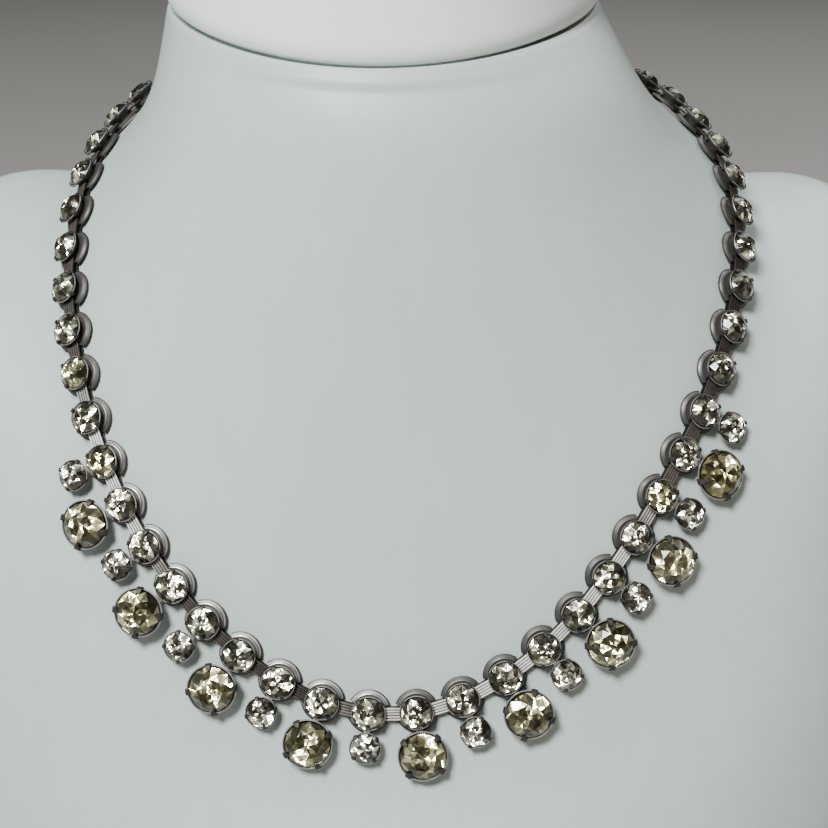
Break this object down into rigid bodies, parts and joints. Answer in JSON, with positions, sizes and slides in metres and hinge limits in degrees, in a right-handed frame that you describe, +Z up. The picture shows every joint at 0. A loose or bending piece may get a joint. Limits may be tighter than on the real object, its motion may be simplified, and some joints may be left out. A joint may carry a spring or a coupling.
{
  "type": "collar necklace on a neck bust",
  "caption": "Rhinestone collar necklace of round plate links joined by ribbed bands, with round drops in prong settings, shown on a plain neck bust.",
  "frame": {"origin": "middle of the bust's flat underside", "axes": "+Z up, -Y towards the front of the bust, +X to the right of a viewer who faces the front"},
  "size_m": [0.1966, 0.1402, 0.2018],
  "materials": {
    "bust_white": "smooth satin white",
    "silver_plate": "silver-tone plating, polished on the slopes and dark in the recesses",
    "silver_bands": "silver-tone plating, ribbed and bright",
    "clear_stone": "faceted clear rhinestone with foil behind it",
    "champagne_stone": "faceted pale champagne rhinestone with foil behind it"
  },
  "bodies": {
    "root": {"bust_form": "bust_white", "bust_cap": "bust_white", "link_01": "silver_plate", "link_02": "silver_plate", "link_03": "silver_plate", "link_04": "silver_plate", "link_05": "silver_plate", "link_06": "silver_plate", "link_07": "silver_plate", "link_08": "silver_plate", "link_09": "silver_plate", "link_10": "silver_plate", "link_11": "silver_plate", "link_12": "silver_plate", "link_13": "silver_plate", "link_14": "silver_plate", "link_15": "silver_plate", "link_16": "silver_plate", "link_17": "silver_plate", "link_18": "silver_plate", "link_19": "silver_plate", "large_stone_1": "champagne_stone", "large_stone_2": "champagne_stone", "large_stone_3": "champagne_stone", "large_stone_4": "champagne_stone", "large_stone_5": "champagne_stone", "large_stone_6": "champagne_stone", "large_stone_7": "champagne_stone", "large_stone_8": "champagne_stone", "large_stone_9": "champagne_stone", "small_stone_01": "clear_stone", "small_stone_02": "clear_stone", "small_stone_03": "clear_stone", "small_stone_04": "clear_stone", "small_stone_05": "clear_stone", "small_stone_06": "clear_stone", "small_stone_07": "clear_stone", "small_stone_08": "clear_stone", "small_stone_09": "clear_stone", "small_stone_10": "clear_stone", "link_stones_front": "clear_stone", "bands_front": "silver_bands", "clasp": "silver_plate", "side_links_left": "silver_plate", "link_stones_left": "clear_stone", "bands_left": "silver_bands", "side_links_right": "silver_plate", "link_stones_right": "clear_stone", "bands_right": "silver_bands"}
  },
  "joints": []
}
